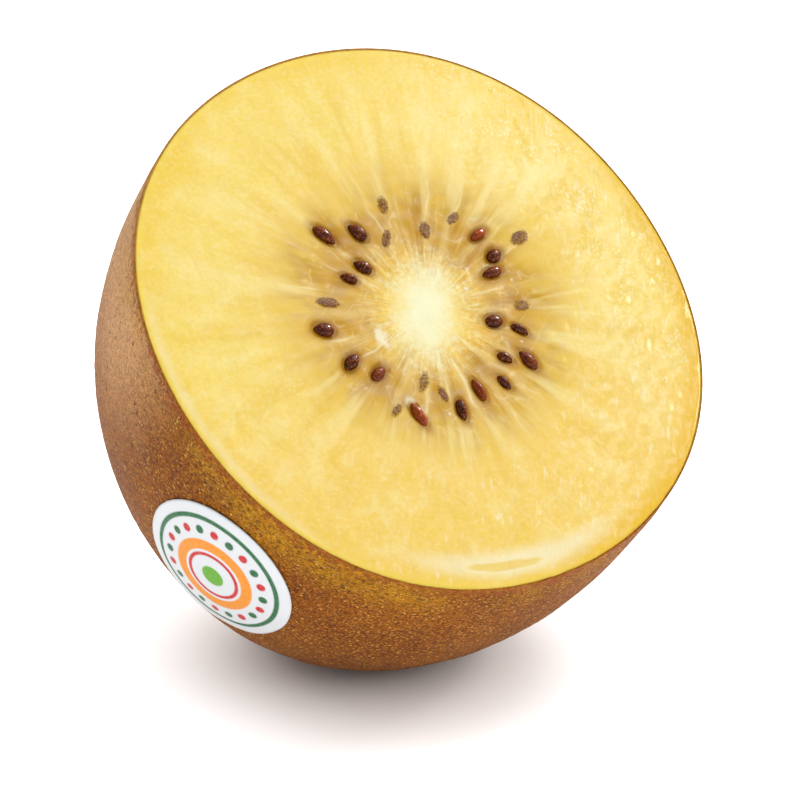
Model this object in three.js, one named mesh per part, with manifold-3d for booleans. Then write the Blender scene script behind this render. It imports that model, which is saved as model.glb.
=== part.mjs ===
// Half of a golden kiwi fruit, cut across, with an oval paper label on its skin.
// Units are millimetres and +Z is up. The origin is the middle of the small flat spot that the
// fruit rests on. The cut face looks towards -Y and up.
//
// The shapes are worked out in the fruit's own frame: X across the cut face, Y up the cut face,
// Z straight out of it, with the middle of the cut at zero. A group then tilts the fruit back.
import * as THREE from "three";
import { mergeVertices } from "three/addons/utils/BufferGeometryUtils.js";
import Module from "manifold-3d";

const DEGREE = Math.PI / 180;
const FULL_TURN = 2 * Math.PI;

// How the fruit lies: the cut face leans back by this angle from lying flat, face up.
const TILT = 46 * DEGREE;
const RESTING_SPOT_DEPTH = 0.4;

// The half fruit. Its outline narrows from the cut to the stem end as a superellipse.
const CUT_RADIUS = 26;
const HALF_LENGTH = 38.5;
const SHOULDER = 2.6;
const END_ROUNDNESS = 1.8;
const BELLY = 0.05;
const SQUARENESS = -0.008;
const SQUARE_ANGLE = 11 * DEGREE;
const LEAN_X = 0.02;
const LEAN_Y = -0.06;

// The hollow at the stem end and the dry scar in it.
const HOLLOW_DEPTH = 1.6;
const HOLLOW_RADIUS = 5;
const SCAR_RADIUS = 2.4;
const SCAR_HEIGHT = 0.9;
const SCAR_ROOT = 1.5;
const SCAR_SIDES = 20;

// The grid of the skin: sectors round the fruit, and rows that lie closer together near the cut.
const SKIN_SECTORS = 80;
const SKIN_ROWS = 28;
const ROW_CROWDING = 1.25;

// The seeds lie in a ring of chambers round the pale core. Each chamber holds one seed in the
// cut, and every seventh one a second seed.
const CHAMBERS = 24;
const CHAMBER_START = 14 * DEGREE;
const CHAMBER_SPREAD = 9 * DEGREE;
const SECOND_SEED_EVERY = 7;
const SECOND_SEED_AT = 1;
const SECOND_SEED_SPREAD = 4 * DEGREE;
const RING_RADIUS = [7.2, 10.8];
const SECOND_RADIUS = [6, 13];
const SEED_TURN = 45 * DEGREE;
const SEED_LENGTH = [1.9, 2.9];
const SEED_WIDTH = [0.9, 1.6];
const SEED_THICKNESS = 1.2;
const SEED_PROUD = [0.2, 0.5];
const SEED_SIDES = 8;
const SEED_RINGS = 6;

// Each measure of a seed has its own stream of repeatable random draws, started by one number.
const RANDOM_FACTOR = 16807;
const RANDOM_MODULUS = 2147483647;
const STREAM = {
  angle: 11837254,
  radius: 10126494,
  turn: 1943135,
  length: 336900,
  width: 951824,
  exposure: 11195338,
  second: 4084401,
};

// The oval label: its middle as a share of the half's length and an angle round the fruit.
const LABEL_DEPTH = 0.347;
const LABEL_ANGLE = -148.26 * DEGREE;
const LABEL_HALF_LENGTH = 9.35;
const LABEL_HALF_WIDTH = 7.62;
const LABEL_TURN = -6 * DEGREE;
const LABEL_GAP = 0.3;
const LABEL_THICKNESS = 0.5;
const LABEL_SECTORS = 40;
const LABEL_RINGS = 4;

const FLESH_COLOR = new THREE.Color("#f0cf62");
const SEED_COLOR = new THREE.Color("#3a2018");
const SKIN_COLOR = new THREE.Color("#9a6434");
const SCAR_COLOR = new THREE.Color("#5c4a38");
const LABEL_COLOR = new THREE.Color("#f3f3ef");

const FRUIT_ROUGHNESS = 0.5;
const LABEL_ROUGHNESS = 0.35;

const wasm = await Module();
wasm.setup();

// Closed geometry as a solid that can be joined and cut.
function solidOf(geometry) {
  const bare = new THREE.BufferGeometry();
  bare.setAttribute("position", geometry.getAttribute("position"));
  bare.setIndex(geometry.index);
  const merged = mergeVertices(bare, 1e-4);
  return new wasm.Manifold(
    new wasm.Mesh({
      numProp: 3,
      vertProperties: merged.getAttribute("position").array,
      triVerts: new Uint32Array(merged.index.array),
    }),
  );
}

// The solid as geometry again.
function geometryOf(solid) {
  const mesh = solid.getMesh();
  const geometry = new THREE.BufferGeometry();
  geometry.setAttribute("position", new THREE.BufferAttribute(mesh.vertProperties, 3));
  geometry.setIndex(new THREE.BufferAttribute(mesh.triVerts, 1));
  return geometry;
}

// A stream of repeatable random numbers between 0 and 1.
function draws(start) {
  let state = start;
  return () => {
    state = (state * RANDOM_FACTOR) % RANDOM_MODULUS;
    return state / RANDOM_MODULUS;
  };
}

function between([low, high], share) {
  return low + (high - low) * share;
}

// Radius of the fruit at a depth, as a share of the radius at the cut. Depth runs from 0 at the
// cut to 1 at the stem end.
function narrowing(depth) {
  return (1 - depth ** SHOULDER) ** (1 / END_ROUNDNESS) + BELLY * depth * (1 - depth);
}

// A point of the skin, at a depth and an angle round the fruit.
function skinPoint(depth, angle) {
  const squared = 1 + SQUARENESS * Math.cos(4 * (angle - SQUARE_ANGLE));
  const radius = CUT_RADIUS * narrowing(depth);
  const hollow = HOLLOW_DEPTH * Math.exp(-((radius / HOLLOW_RADIUS) ** 2));
  const below = depth * HALF_LENGTH;
  return new THREE.Vector3(
    radius * squared * Math.cos(angle) + LEAN_X * below,
    radius * squared * Math.sin(angle) + LEAN_Y * below,
    hollow - below,
  );
}

// The direction straight out of the skin at a depth and an angle.
function skinNormal(depth, angle) {
  const step = 1e-3;
  const round = skinPoint(depth, angle + step).sub(skinPoint(depth, angle - step));
  const along = skinPoint(depth + step, angle).sub(skinPoint(depth - step, angle));
  return along.cross(round).normalize();
}

// Triangles between rings of equal length, the first of which closes on a middle point and the
// last on another. Points are numbered ring by ring, then the two middle points.
function closedRings(rings, firstMiddle, lastMiddle) {
  const points = [...rings.flat(), firstMiddle, lastMiddle];
  const sectors = rings[0].length;
  const first = points.length - 2;
  const last = points.length - 1;
  const faces = [];
  for (let sector = 0; sector < sectors; sector++) {
    const next = (sector + 1) % sectors;
    faces.push(first, sector, next);
    for (let row = 0; row + 1 < rings.length; row++) {
      const here = row * sectors;
      const below = here + sectors;
      faces.push(here + sector, below + sector, below + next);
      faces.push(here + sector, below + next, here + next);
    }
    const end = (rings.length - 1) * sectors;
    faces.push(last, end + next, end + sector);
  }
  return new THREE.BufferGeometry().setFromPoints(points).setIndex(faces);
}

function fruitBody() {
  const rings = [];
  for (let row = 0; row < SKIN_ROWS; row++) {
    const sweep = (Math.PI / 2) * (row / SKIN_ROWS) ** ROW_CROWDING;
    const depth = Math.sin(sweep) ** (2 / SHOULDER);
    const ring = [];
    for (let sector = 0; sector < SKIN_SECTORS; sector++) {
      ring.push(skinPoint(depth, (FULL_TURN * sector) / SKIN_SECTORS));
    }
    rings.push(ring);
  }
  return closedRings(rings, new THREE.Vector3(0, 0, 0), skinPoint(1, 0));
}

// The scar where the stem broke off: a low button with a dip in its middle.
function stemScar() {
  const profile = [
    new THREE.Vector2(0, -SCAR_ROOT),
    new THREE.Vector2(0.8 * SCAR_RADIUS, -SCAR_ROOT),
    new THREE.Vector2(SCAR_RADIUS, 0.2 * SCAR_HEIGHT),
    new THREE.Vector2(0.92 * SCAR_RADIUS, 0.8 * SCAR_HEIGHT),
    new THREE.Vector2(0.7 * SCAR_RADIUS, SCAR_HEIGHT),
    new THREE.Vector2(0.4 * SCAR_RADIUS, 0.7 * SCAR_HEIGHT),
    new THREE.Vector2(0, 0.6 * SCAR_HEIGHT),
  ];
  const end = skinPoint(1, 0);
  return new THREE.LatheGeometry(profile, SCAR_SIDES)
    .rotateX(-Math.PI / 2)
    .translate(end.x, end.y, end.z);
}

// Place, size and exposure of every seed in the cut.
function seedLayout() {
  const stream = {};
  for (const [name, start] of Object.entries(STREAM)) {
    stream[name] = draws(start);
  }
  const seed = (angle, radius) => ({
    angle,
    radius,
    turn: SEED_TURN * (2 * stream.turn() - 1) ** 3,
    length: between(SEED_LENGTH, stream.length()),
    width: between(SEED_WIDTH, stream.width()),
    exposure: stream.exposure(),
  });
  const scatter = (spread) => spread * (2 * stream.angle() - 1);
  const seeds = [];
  for (let chamber = 0; chamber < CHAMBERS; chamber++) {
    const middle = CHAMBER_START + (FULL_TURN * chamber) / CHAMBERS;
    seeds.push(seed(middle + scatter(CHAMBER_SPREAD), between(RING_RADIUS, stream.radius())));
  }
  for (let chamber = SECOND_SEED_AT; chamber < CHAMBERS; chamber += SECOND_SEED_EVERY) {
    const angle = seeds[chamber].angle + scatter(SECOND_SEED_SPREAD);
    seeds.push(seed(angle, between(SECOND_RADIUS, stream.second())));
  }
  return seeds;
}

// A seed is a flat ellipsoid, with more or less of it standing out of the cut.
function seedGeometry({ angle, radius, turn, length, width, exposure }) {
  const proud = between(SEED_PROUD, exposure);
  return new THREE.SphereGeometry(1, SEED_SIDES, SEED_RINGS)
    .scale(width / 2, length / 2, SEED_THICKNESS / 2)
    .rotateZ(angle + turn - Math.PI / 2)
    .translate(radius * Math.cos(angle), radius * Math.sin(angle), proud - SEED_THICKNESS / 2);
}

// Straight down, in the fruit's own frame.
const DOWN = new THREE.Vector3(0, -Math.sin(TILT), -Math.cos(TILT));

// The lowest point of the tilted fruit, in its own frame.
function lowestPoint() {
  const steps = 360;
  let lowest = skinPoint(0, 0);
  for (let row = 0; row < steps; row++) {
    for (let sector = 0; sector < steps; sector++) {
      const point = skinPoint(row / steps, (FULL_TURN * sector) / steps);
      if (point.dot(DOWN) > lowest.dot(DOWN)) {
        lowest = point;
      }
    }
  }
  return lowest;
}

// The middle of the resting spot, a little inside the lowest point.
const RESTING_POINT = lowestPoint().addScaledVector(DOWN, -RESTING_SPOT_DEPTH);

// A block whose top face is the surface that the fruit rests on.
function restingBlock() {
  const size = 40;
  const middle = RESTING_POINT.clone().addScaledVector(DOWN, size / 2);
  return new THREE.BoxGeometry(size, size, size)
    .rotateX(-TILT)
    .translate(middle.x, middle.y, middle.z);
}

// Colours each triangle of the fruit by what it belongs to: seed, flesh, stem scar or skin.
function paint(geometry) {
  const loose = geometry.toNonIndexed();
  const corner = loose.getAttribute("position");
  const end = skinPoint(1, 0);
  const faceLevel = -1e-3;
  const colors = new Float32Array(corner.count * 3);
  for (let i = 0; i < corner.count; i += 3) {
    const heights = [corner.getZ(i), corner.getZ(i + 1), corner.getZ(i + 2)];
    const fromEnd = Math.hypot(corner.getX(i) - end.x, corner.getY(i) - end.y);
    let color = SKIN_COLOR;
    if (Math.min(...heights) > faceLevel) {
      color = Math.max(...heights) > -faceLevel ? SEED_COLOR : FLESH_COLOR;
    } else if (heights[0] < -HALF_LENGTH / 2 && fromEnd < SCAR_RADIUS) {
      color = SCAR_COLOR;
    }
    for (let k = 0; k < 3; k++) {
      color.toArray(colors, 3 * (i + k));
    }
  }
  loose.setAttribute("color", new THREE.BufferAttribute(colors, 3));
  loose.computeVertexNormals();
  return loose;
}

// The half fruit: one solid of flesh, core and skin, with its seeds and its stem scar grown in.
function kiwiHalf() {
  let solid = solidOf(fruitBody()).add(solidOf(stemScar()));
  for (const seed of seedLayout()) {
    solid = solid.add(solidOf(seedGeometry(seed)));
  }
  solid = solid.subtract(solidOf(restingBlock()));
  const material = new THREE.MeshStandardMaterial({
    vertexColors: true,
    roughness: FRUIT_ROUGHNESS,
    metalness: 0,
  });
  const mesh = new THREE.Mesh(paint(geometryOf(solid)), material);
  mesh.name = "kiwi_half";
  return mesh;
}

// A point over the skin inside the label. The label is an ellipse in the skin's own measures:
// the distance along the fruit and the distance round it.
function labelPoint(share, angle, height) {
  const x = LABEL_HALF_LENGTH * share * Math.cos(angle);
  const y = LABEL_HALF_WIDTH * share * Math.sin(angle);
  const along = x * Math.cos(LABEL_TURN) - y * Math.sin(LABEL_TURN);
  const round = x * Math.sin(LABEL_TURN) + y * Math.cos(LABEL_TURN);
  const depth = LABEL_DEPTH + along / HALF_LENGTH;
  const turn = LABEL_ANGLE + round / CUT_RADIUS;
  return skinPoint(depth, turn).addScaledVector(skinNormal(depth, turn), height);
}

function labelRing(share, height) {
  const ring = [];
  for (let sector = 0; sector < LABEL_SECTORS; sector++) {
    ring.push(labelPoint(share, (FULL_TURN * sector) / LABEL_SECTORS, height));
  }
  return ring;
}

// The paper label that follows the skin.
function label() {
  const top = LABEL_GAP + LABEL_THICKNESS;
  const outward = [];
  const inward = [];
  for (let ring = 1; ring <= LABEL_RINGS; ring++) {
    outward.push(labelRing(ring / LABEL_RINGS, top));
    inward.unshift(labelRing(ring / LABEL_RINGS, LABEL_GAP));
  }
  const geometry = closedRings(
    [...outward, ...inward],
    labelPoint(0, 0, top),
    labelPoint(0, 0, LABEL_GAP),
  );
  geometry.computeVertexNormals();
  const material = new THREE.MeshStandardMaterial({
    color: LABEL_COLOR,
    roughness: LABEL_ROUGHNESS,
    metalness: 0,
  });
  const mesh = new THREE.Mesh(geometry, material);
  mesh.name = "label";
  return mesh;
}

// The fruit is tilted back, and set down with its resting spot at the origin.
const fruit = new THREE.Group();
fruit.add(kiwiHalf(), label());
fruit.rotation.x = TILT;
fruit.position.copy(RESTING_POINT.clone().applyAxisAngle(new THREE.Vector3(1, 0, 0), TILT).negate());

const part = new THREE.Group();
part.add(fruit);

export default part;
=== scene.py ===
"""Looks of a golden kiwi fruit cut in half: flesh, seeds, skin, stem scar and paper label.

The shapes are worked out in the fruit's own frame, with X across the cut face, Y up the cut face,
Z straight out of it and zero in the middle of the cut. The fruit then leans back and rests on a
small flat spot at the origin of the row's frame. Lengths are in metres.
"""

import math

import bpy
import numpy as np
from bpy.props import FloatProperty, FloatVectorProperty, PointerProperty
from mathutils import Matrix, Vector


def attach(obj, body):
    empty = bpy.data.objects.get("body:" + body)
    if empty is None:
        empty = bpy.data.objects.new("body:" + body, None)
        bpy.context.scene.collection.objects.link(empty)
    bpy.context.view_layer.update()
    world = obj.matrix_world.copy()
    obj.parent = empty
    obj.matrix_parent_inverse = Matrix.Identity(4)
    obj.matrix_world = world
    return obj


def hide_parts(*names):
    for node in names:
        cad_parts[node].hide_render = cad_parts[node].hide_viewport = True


bl_info = {
    "name": "Golden Kiwi Half",
    "version": (1, 0, 0),
    "blender": (4, 5, 0),
    "location": "View3D > Sidebar > Kiwi",
    "description": "Builds the flesh, seeds, skin, stem scar and label of a cut golden kiwi fruit",
    "category": "Add Mesh",
}

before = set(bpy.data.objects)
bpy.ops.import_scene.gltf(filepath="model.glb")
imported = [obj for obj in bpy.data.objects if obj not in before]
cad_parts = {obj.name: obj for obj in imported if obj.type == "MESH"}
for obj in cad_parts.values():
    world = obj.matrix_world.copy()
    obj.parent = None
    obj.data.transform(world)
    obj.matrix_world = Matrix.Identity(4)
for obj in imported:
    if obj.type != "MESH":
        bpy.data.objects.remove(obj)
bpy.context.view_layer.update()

MM = 0.001
TURN = 2 * math.pi
TILT = math.radians(46)
RESTING_SPOT_DEPTH = 0.4 * MM

# The outline of the half fruit, which narrows from the cut to the stem end as a superellipse.
SHOULDER = 2.6
END_ROUNDNESS = 1.8
BELLY = 0.05
SQUARENESS = -0.008
SQUARE_ANGLE = math.radians(11)
LEAN_X = 0.02
LEAN_Y = -0.06
HOLLOW_DEPTH = 1.6 * MM
HOLLOW_RADIUS = 5 * MM

# The seeds lie in a ring of chambers round the core, by the same rule and draws as the solids.
CHAMBERS = 24
CHAMBER_START = math.radians(14)
CHAMBER_SPREAD = math.radians(9)
SECOND_SEED_EVERY = 7
SECOND_SEED_AT = 1
SECOND_SEED_SPREAD = math.radians(4)
RING_RADIUS = (7.2 * MM, 10.8 * MM)
SECOND_RADIUS = (6 * MM, 13 * MM)
SEED_TURN = math.radians(45)
SEED_LENGTH = (1.9 * MM, 2.9 * MM)
SEED_WIDTH = (0.9 * MM, 1.6 * MM)
SEED_PROUD = (0.2 * MM, 0.5 * MM)
RANDOM_FACTOR = 16807
RANDOM_MODULUS = 2147483647
STREAM = {
    "angle": 11837254,
    "radius": 10126494,
    "turn": 1943135,
    "length": 336900,
    "width": 951824,
    "exposure": 11195338,
    "second": 4084401,
}

# Seeds more exposed than this lie open, and the others are buried. An open seed is drawn smaller
# than its solid, and a painted highlight lies on its socket on the side that faces the light,
# strongest round the palest ones.
SHOWN_FROM = 0.42
SEED_SHRINK = 0.81
SOCKET_HIGHLIGHT_ANGLE = math.radians(40)
HIGHLIGHT_TONE = 0.92
TONE_START = 0.68
TONE_STEP = 0.618
SEED_PITCH = math.radians(16)
SEED_ROWS, SEED_SECTORS = 22, 40

# The scar at the stem end.
SCAR_RADIUS = 2.4 * MM
SCAR_HEIGHT = 0.9 * MM
SCAR_ROOT = 0.6 * MM

# Sectors round the fruit of the cut face and of the skin, and rows along it.
FLESH_SECTORS, FLESH_ROWS = 440, 26
SKIN_SECTORS, SKIN_ROWS, LIP_ROWS = 300, 150, 5
FLESH_GAP = 0.01 * MM
FLOOR_GAP = 0.02 * MM

# Marks on the cut face, each by the angle and radius of its middle and its half length and width.
NOTCH = (math.radians(264), 23.9 * MM, 3.6 * MM, 0.42 * MM)
# The pale arc is painted glare, a reflection along the lower rim round the notch.
GLARE_ARC = (math.radians(267), 23.7 * MM, 11 * MM, 1.3 * MM)
# The wet spot is a painted highlight of wet flesh near the core.
WET_HIGHLIGHT = (math.radians(197), 5.3 * MM, 1.2 * MM, 0.7 * MM)

# Heights of the cut face: the chambers sink, an open seed's socket dips inside a low brow, a
# buried seed lifts a hump, and the flesh sinks at the notch and next to the skin.
CHAMBER_SINK = 0.1 * MM
SOCKET_DIP = 0.1 * MM
SOCKET_BROW = 0.03 * MM
BURIED_HUMP = 0.1 * MM
NOTCH_SINK = 0.08 * MM
RIM_SINK = 0.03 * MM

# How far the skin's waves are sunk, and how far its cut lip is rounded up.
SKIN_SINK = 0.02 * MM
LIP_RISE = 0.04 * MM

# Ripples: their height, their length, how many waves are added up and the start of their draws.
FACE_SWELL = (0.035 * MM, 5 * MM, 14, 771)
FACE_GRAIN = (0.018 * MM, 1.6 * MM, 18, 1931)
CHAMBER_RIPPLE = (0.05 * MM, 1.9 * MM, 16, 90017)
SKIN_SWELL = (0.03 * MM, 9 * MM, 14, 5003)
SKIN_GRAIN = (0.014 * MM, 1.1 * MM, 18, 6007)
LIP_RIPPLE = (0.03 * MM, 2.2 * MM, 12, 4409)
SCAR_RIPPLE = (0.06 * MM, 0.8 * MM, 14, 808)
LABEL_RIPPLE = (0.02 * MM, 0.9, 8, 313)

# The label's middle, as a share of the half's length and an angle round the fruit.
LABEL_DEPTH = 0.347
LABEL_ANGLE = math.radians(-147.8)
LABEL_TURN = math.radians(-6)
LABEL_GAP = 0.06 * MM
LABEL_DOTS = 20

# Spread of the paper's fibres over half of the label's length and over half of its width.
FIBRE_SPREAD = (9.35, 7.62)

# How much of the flesh colours, given as seen, is left once the light and the gloss are taken off.
FLESH_SHARE = 0.785
FLESH_GLOSS = 0.07

# The camera stands where the photograph was taken from, and aims a little below the cut's middle.
CAMERA_AZIMUTH = math.radians(-31.71)
CAMERA_ELEVATION = math.radians(20)
CAMERA_DISTANCE = 312 * MM
CAMERA_AIM = (-2.2 * MM, -7.61 * MM)
CAMERA_LENS = 165.3

# The lights point at a spot this high over the origin.
LIGHT_AIM_HEIGHT = 20 * MM
SKY_STRENGTH = 0.75


def linear(red, green, blue):
    """A screen colour, each share from 0 to 255, as linear light."""
    shares = np.array([red, green, blue]) / 255
    light = np.where(shares <= 0.04045, shares / 12.92, ((shares + 0.055) / 1.055) ** 2.4)
    return tuple(float(share) for share in light)


class KiwiSizes(bpy.types.PropertyGroup):
    cut_radius: FloatProperty(
        name="Cut radius",
        description="Half of the fruit's width at the cut",
        default=26 * MM,
        unit="LENGTH",
    )
    half_length: FloatProperty(
        name="Half length",
        description="Length from the cut to the stem end",
        default=38.5 * MM,
        unit="LENGTH",
    )
    skin_thickness: FloatProperty(
        name="Skin thickness",
        description="Thickness of the brown skin",
        default=0.17 * MM,
        unit="LENGTH",
    )
    seed_thickness: FloatProperty(
        name="Seed thickness",
        description="Thickness of a seed",
        default=1.2 * MM,
        unit="LENGTH",
    )
    label_half_length: FloatProperty(
        name="Label half length",
        description="Half of the label's length along the fruit",
        default=9.35 * MM,
        unit="LENGTH",
    )
    label_half_width: FloatProperty(
        name="Label half width",
        description="Half of the label's width round the fruit",
        default=7.45 * MM,
        unit="LENGTH",
    )
    label_thickness: FloatProperty(
        name="Label thickness",
        description="Thickness of the label's paper",
        default=0.1 * MM,
        unit="LENGTH",
    )


class KiwiColors(bpy.types.PropertyGroup):
    flesh: FloatVectorProperty(
        name="Flesh",
        description="Outer flesh",
        default=linear(253, 227, 134),
        subtype="COLOR",
    )
    core: FloatVectorProperty(
        name="Core",
        description="Pale middle of the cut",
        default=linear(255, 253, 214),
        subtype="COLOR",
    )
    chamber: FloatVectorProperty(
        name="Seed chambers",
        description="Clear flesh round the seeds",
        default=linear(221, 178, 98),
        subtype="COLOR",
    )
    skin: FloatVectorProperty(
        name="Skin",
        description="Brown of the skin",
        default=linear(114, 56, 6),
        subtype="COLOR",
    )
    fleck: FloatVectorProperty(
        name="Skin flecks",
        description="Golden flecks of the skin",
        default=linear(196, 122, 34),
        subtype="COLOR",
    )
    seed: FloatVectorProperty(
        name="Seeds",
        description="Dark brown of the seeds",
        default=linear(54, 10, 0),
        subtype="COLOR",
    )
    paper: FloatVectorProperty(
        name="Label paper",
        description="White of the label",
        default=linear(192, 194, 197),
        subtype="COLOR",
    )


def draws(start, count):
    """A stream of repeatable random numbers between 0 and 1."""
    state = start
    found = []
    for _ in range(count):
        state = state * RANDOM_FACTOR % RANDOM_MODULUS
        found.append(state / RANDOM_MODULUS)
    return np.array(found)


def between(limits, share):
    """The value at a share of the way from the first limit to the second."""
    return limits[0] + (limits[1] - limits[0]) * share


def seed_layout():
    """Angle, radius, turn, size, exposure and tone of every seed, each as one array."""
    first = np.arange(CHAMBERS)
    second = np.arange(SECOND_SEED_AT, CHAMBERS, SECOND_SEED_EVERY)
    count = len(first) + len(second)
    stream = {name: draws(start, count) for name, start in STREAM.items()}
    scatter = 2 * stream["angle"] - 1
    ring = CHAMBER_START + TURN * first / CHAMBERS + CHAMBER_SPREAD * scatter[:CHAMBERS]
    extra = ring[second] + SECOND_SEED_SPREAD * scatter[CHAMBERS:]
    ring_radius = between(RING_RADIUS, stream["radius"][:CHAMBERS])
    extra_radius = between(SECOND_RADIUS, stream["second"][: len(second)])
    return {
        "angle": np.concatenate([ring, extra]),
        "radius": np.concatenate([ring_radius, extra_radius]),
        "turn": SEED_TURN * (2 * stream["turn"] - 1) ** 3,
        "length": between(SEED_LENGTH, stream["length"]),
        "width": between(SEED_WIDTH, stream["width"]),
        "exposure": stream["exposure"],
        "tone": (TONE_START + TONE_STEP * np.arange(count)) % 1,
    }


def ease(low, high, value):
    """0 below low, 1 above high and a smooth step between them. Low may be the larger one."""
    share = np.clip((value - low) / (high - low), 0, 1)
    return share * share * (3 - 2 * share)


def waves(x, y, ripple):
    """Gentle bumps: sine waves that run in drawn directions, added up, at a ripple's height."""
    height, length, count, start = ripple
    heading, phase, stretch = draws(start, 3 * count).reshape(3, count)
    total = np.zeros(np.broadcast(x, y).shape)
    for turn, shift, share in zip(TURN * heading, TURN * phase, 0.7 + 0.6 * stretch):
        pace = TURN / (length * share)
        total += np.sin(pace * (x * math.cos(turn) + y * math.sin(turn)) + shift)
    return height / math.sqrt(count) * total


class Fruit:
    """The shape of the half fruit."""

    def __init__(self, sizes):
        self.sizes = sizes
        self.down = np.array([0, -math.sin(TILT), -math.cos(TILT)])
        self.turned = np.array(Matrix.Rotation(TILT, 3, "X"))
        self.place = -self.turned @ (self.lowest() - RESTING_SPOT_DEPTH * self.down)

    def narrowing(self, depth):
        """Radius at a depth from 0 at the cut to 1 at the stem end, as a share of the cut's."""
        rounded = np.clip(1 - depth**SHOULDER, 0, 1) ** (1 / END_ROUNDNESS)
        return rounded + BELLY * depth * (1 - depth)

    def rim(self, angle):
        """Radius of the cut's outline, which is a little square."""
        return self.sizes.cut_radius * (1 + SQUARENESS * np.cos(4 * (angle - SQUARE_ANGLE)))

    def skin(self, depth, angle):
        """A superellipse turned round a leaning axis, with a soft hollow at the stem end."""
        narrow = self.narrowing(depth)
        radius = narrow * self.rim(angle)
        hollow = HOLLOW_DEPTH * np.exp(-((narrow * self.sizes.cut_radius / HOLLOW_RADIUS) ** 2))
        below = depth * self.sizes.half_length
        x = radius * np.cos(angle) + LEAN_X * below
        y = radius * np.sin(angle) + LEAN_Y * below
        return np.stack(np.broadcast_arrays(x, y, hollow - below), -1)

    def normal(self, depth, angle):
        """Straight out of the skin: across its slopes round and along the fruit."""
        step = 1e-4
        depth = np.clip(depth, 2 * step, 1 - 2 * step)
        round_it = self.skin(depth, angle + step) - self.skin(depth, angle - step)
        along_it = self.skin(depth + step, angle) - self.skin(depth - step, angle)
        across = np.cross(along_it, round_it)
        return across / np.linalg.norm(across, axis=-1, keepdims=True)

    def lowest(self):
        """The lowest point of the leaning fruit."""
        steps = 360
        depth, angle = np.meshgrid(np.arange(steps) / steps, TURN * np.arange(steps) / steps)
        points = self.skin(depth, angle).reshape(-1, 3)
        return points[np.argmax(points @ self.down)]

    def row(self, points, floor=0.0):
        """From the fruit's frame to the row's. What would sink below the floor is pressed flat."""
        placed = points @ self.turned.T + self.place
        placed[..., 2] = np.maximum(placed[..., 2], floor)
        return placed


def sector_angles(count):
    """Evenly spaced angles round a full turn."""
    return TURN * np.arange(count) / count


def depth_rows(count, crowding=1.25):
    """Depths from the cut to just before the stem end, closer together near the cut."""
    sweep = math.pi / 2 * (np.arange(count) / count) ** crowding
    return np.sin(sweep) ** (2 / SHOULDER)


def ring_faces(rings, sectors, start=0):
    """Triangles of stacked rings, closed by a first and a last middle point."""
    here = np.arange(sectors)
    after = (here + 1) % sectors
    first = rings * sectors
    top = np.stack([np.full(sectors, first), here, after], 1)
    row = sectors * np.arange(rings - 1)[:, None]
    a, b = row + here, row + after
    c, d = a + sectors, b + sectors
    sides = np.concatenate([np.stack([a, c, d], -1), np.stack([a, d, b], -1)], 1)
    last = (rings - 1) * sectors
    bottom = np.stack([np.full(sectors, first + 1), last + after, last + here], 1)
    return start + np.concatenate([top, sides.reshape(-1, 3), bottom])


def stacked(rings, first, last):
    """Points of stacked rings, then the two middle points that close them."""
    return np.concatenate([rings.reshape(-1, 3), np.reshape([first, last], (2, 3))])


def link(name, data):
    """A new object in the scene that holds a mesh, light or camera."""
    made = bpy.data.objects.new(name, data)
    bpy.context.scene.collection.objects.link(made)
    return made


def make_piece(name, points, faces, material, slot, *replaced, values=None, uv=None):
    """A smooth mesh object that rides on the fruit's body, with values or a UV map per vertex."""
    mesh = bpy.data.meshes.new(name)
    mesh.vertices.add(len(points))
    mesh.vertices.foreach_set("co", np.ascontiguousarray(points, np.float32).ravel())
    mesh.loops.add(faces.size)
    mesh.loops.foreach_set("vertex_index", faces.astype(np.int32).ravel())
    mesh.polygons.add(len(faces))
    mesh.polygons.foreach_set("loop_start", np.arange(0, faces.size, 3, dtype=np.int32))
    mesh.polygons.foreach_set("use_smooth", np.ones(len(faces), bool))
    mesh.update(calc_edges=True)
    for key, numbers in (values or {}).items():
        attribute = mesh.attributes.new(key, "FLOAT", "POINT")
        attribute.data.foreach_set("value", np.ascontiguousarray(numbers, np.float32).ravel())
    if uv is not None:
        layer = mesh.uv_layers.new(name="print")
        layer.data.foreach_set("uv", np.ascontiguousarray(uv[faces.ravel()], np.float32).ravel())
    mesh.validate()
    mesh.materials.append(material)
    piece = link(name, mesh)
    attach(piece, "root")
    if replaced:
        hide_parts(*replaced)


class Socket:
    """A shader value that Python's operators work on, each by a Math node."""

    def __init__(self, net, output):
        self.net = net
        self.output = output

    def math(self, operation, *others):
        return self.net.math(operation, self, *others)

    def __add__(self, other):
        return self.math("ADD", other)

    def __radd__(self, other):
        return self.net.math("ADD", other, self)

    def __sub__(self, other):
        return self.math("SUBTRACT", other)

    def __rsub__(self, other):
        return self.net.math("SUBTRACT", other, self)

    def __mul__(self, other):
        return self.math("MULTIPLY", other)

    def __rmul__(self, other):
        return self.net.math("MULTIPLY", other, self)

    def __truediv__(self, other):
        return self.math("DIVIDE", other)

    def __pow__(self, other):
        return self.math("POWER", other)

    def __abs__(self):
        return self.math("ABSOLUTE")

    def ease(self, low, high):
        """0 at low, 1 at high, smooth between them and held outside."""
        if low > high:
            return 1 - self.ease(high, low)
        limits = {"Value": self, "From Min": low, "From Max": high}
        return self.net.node("MapRange", {"interpolation_type": "SMOOTHSTEP"}, limits)


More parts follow.
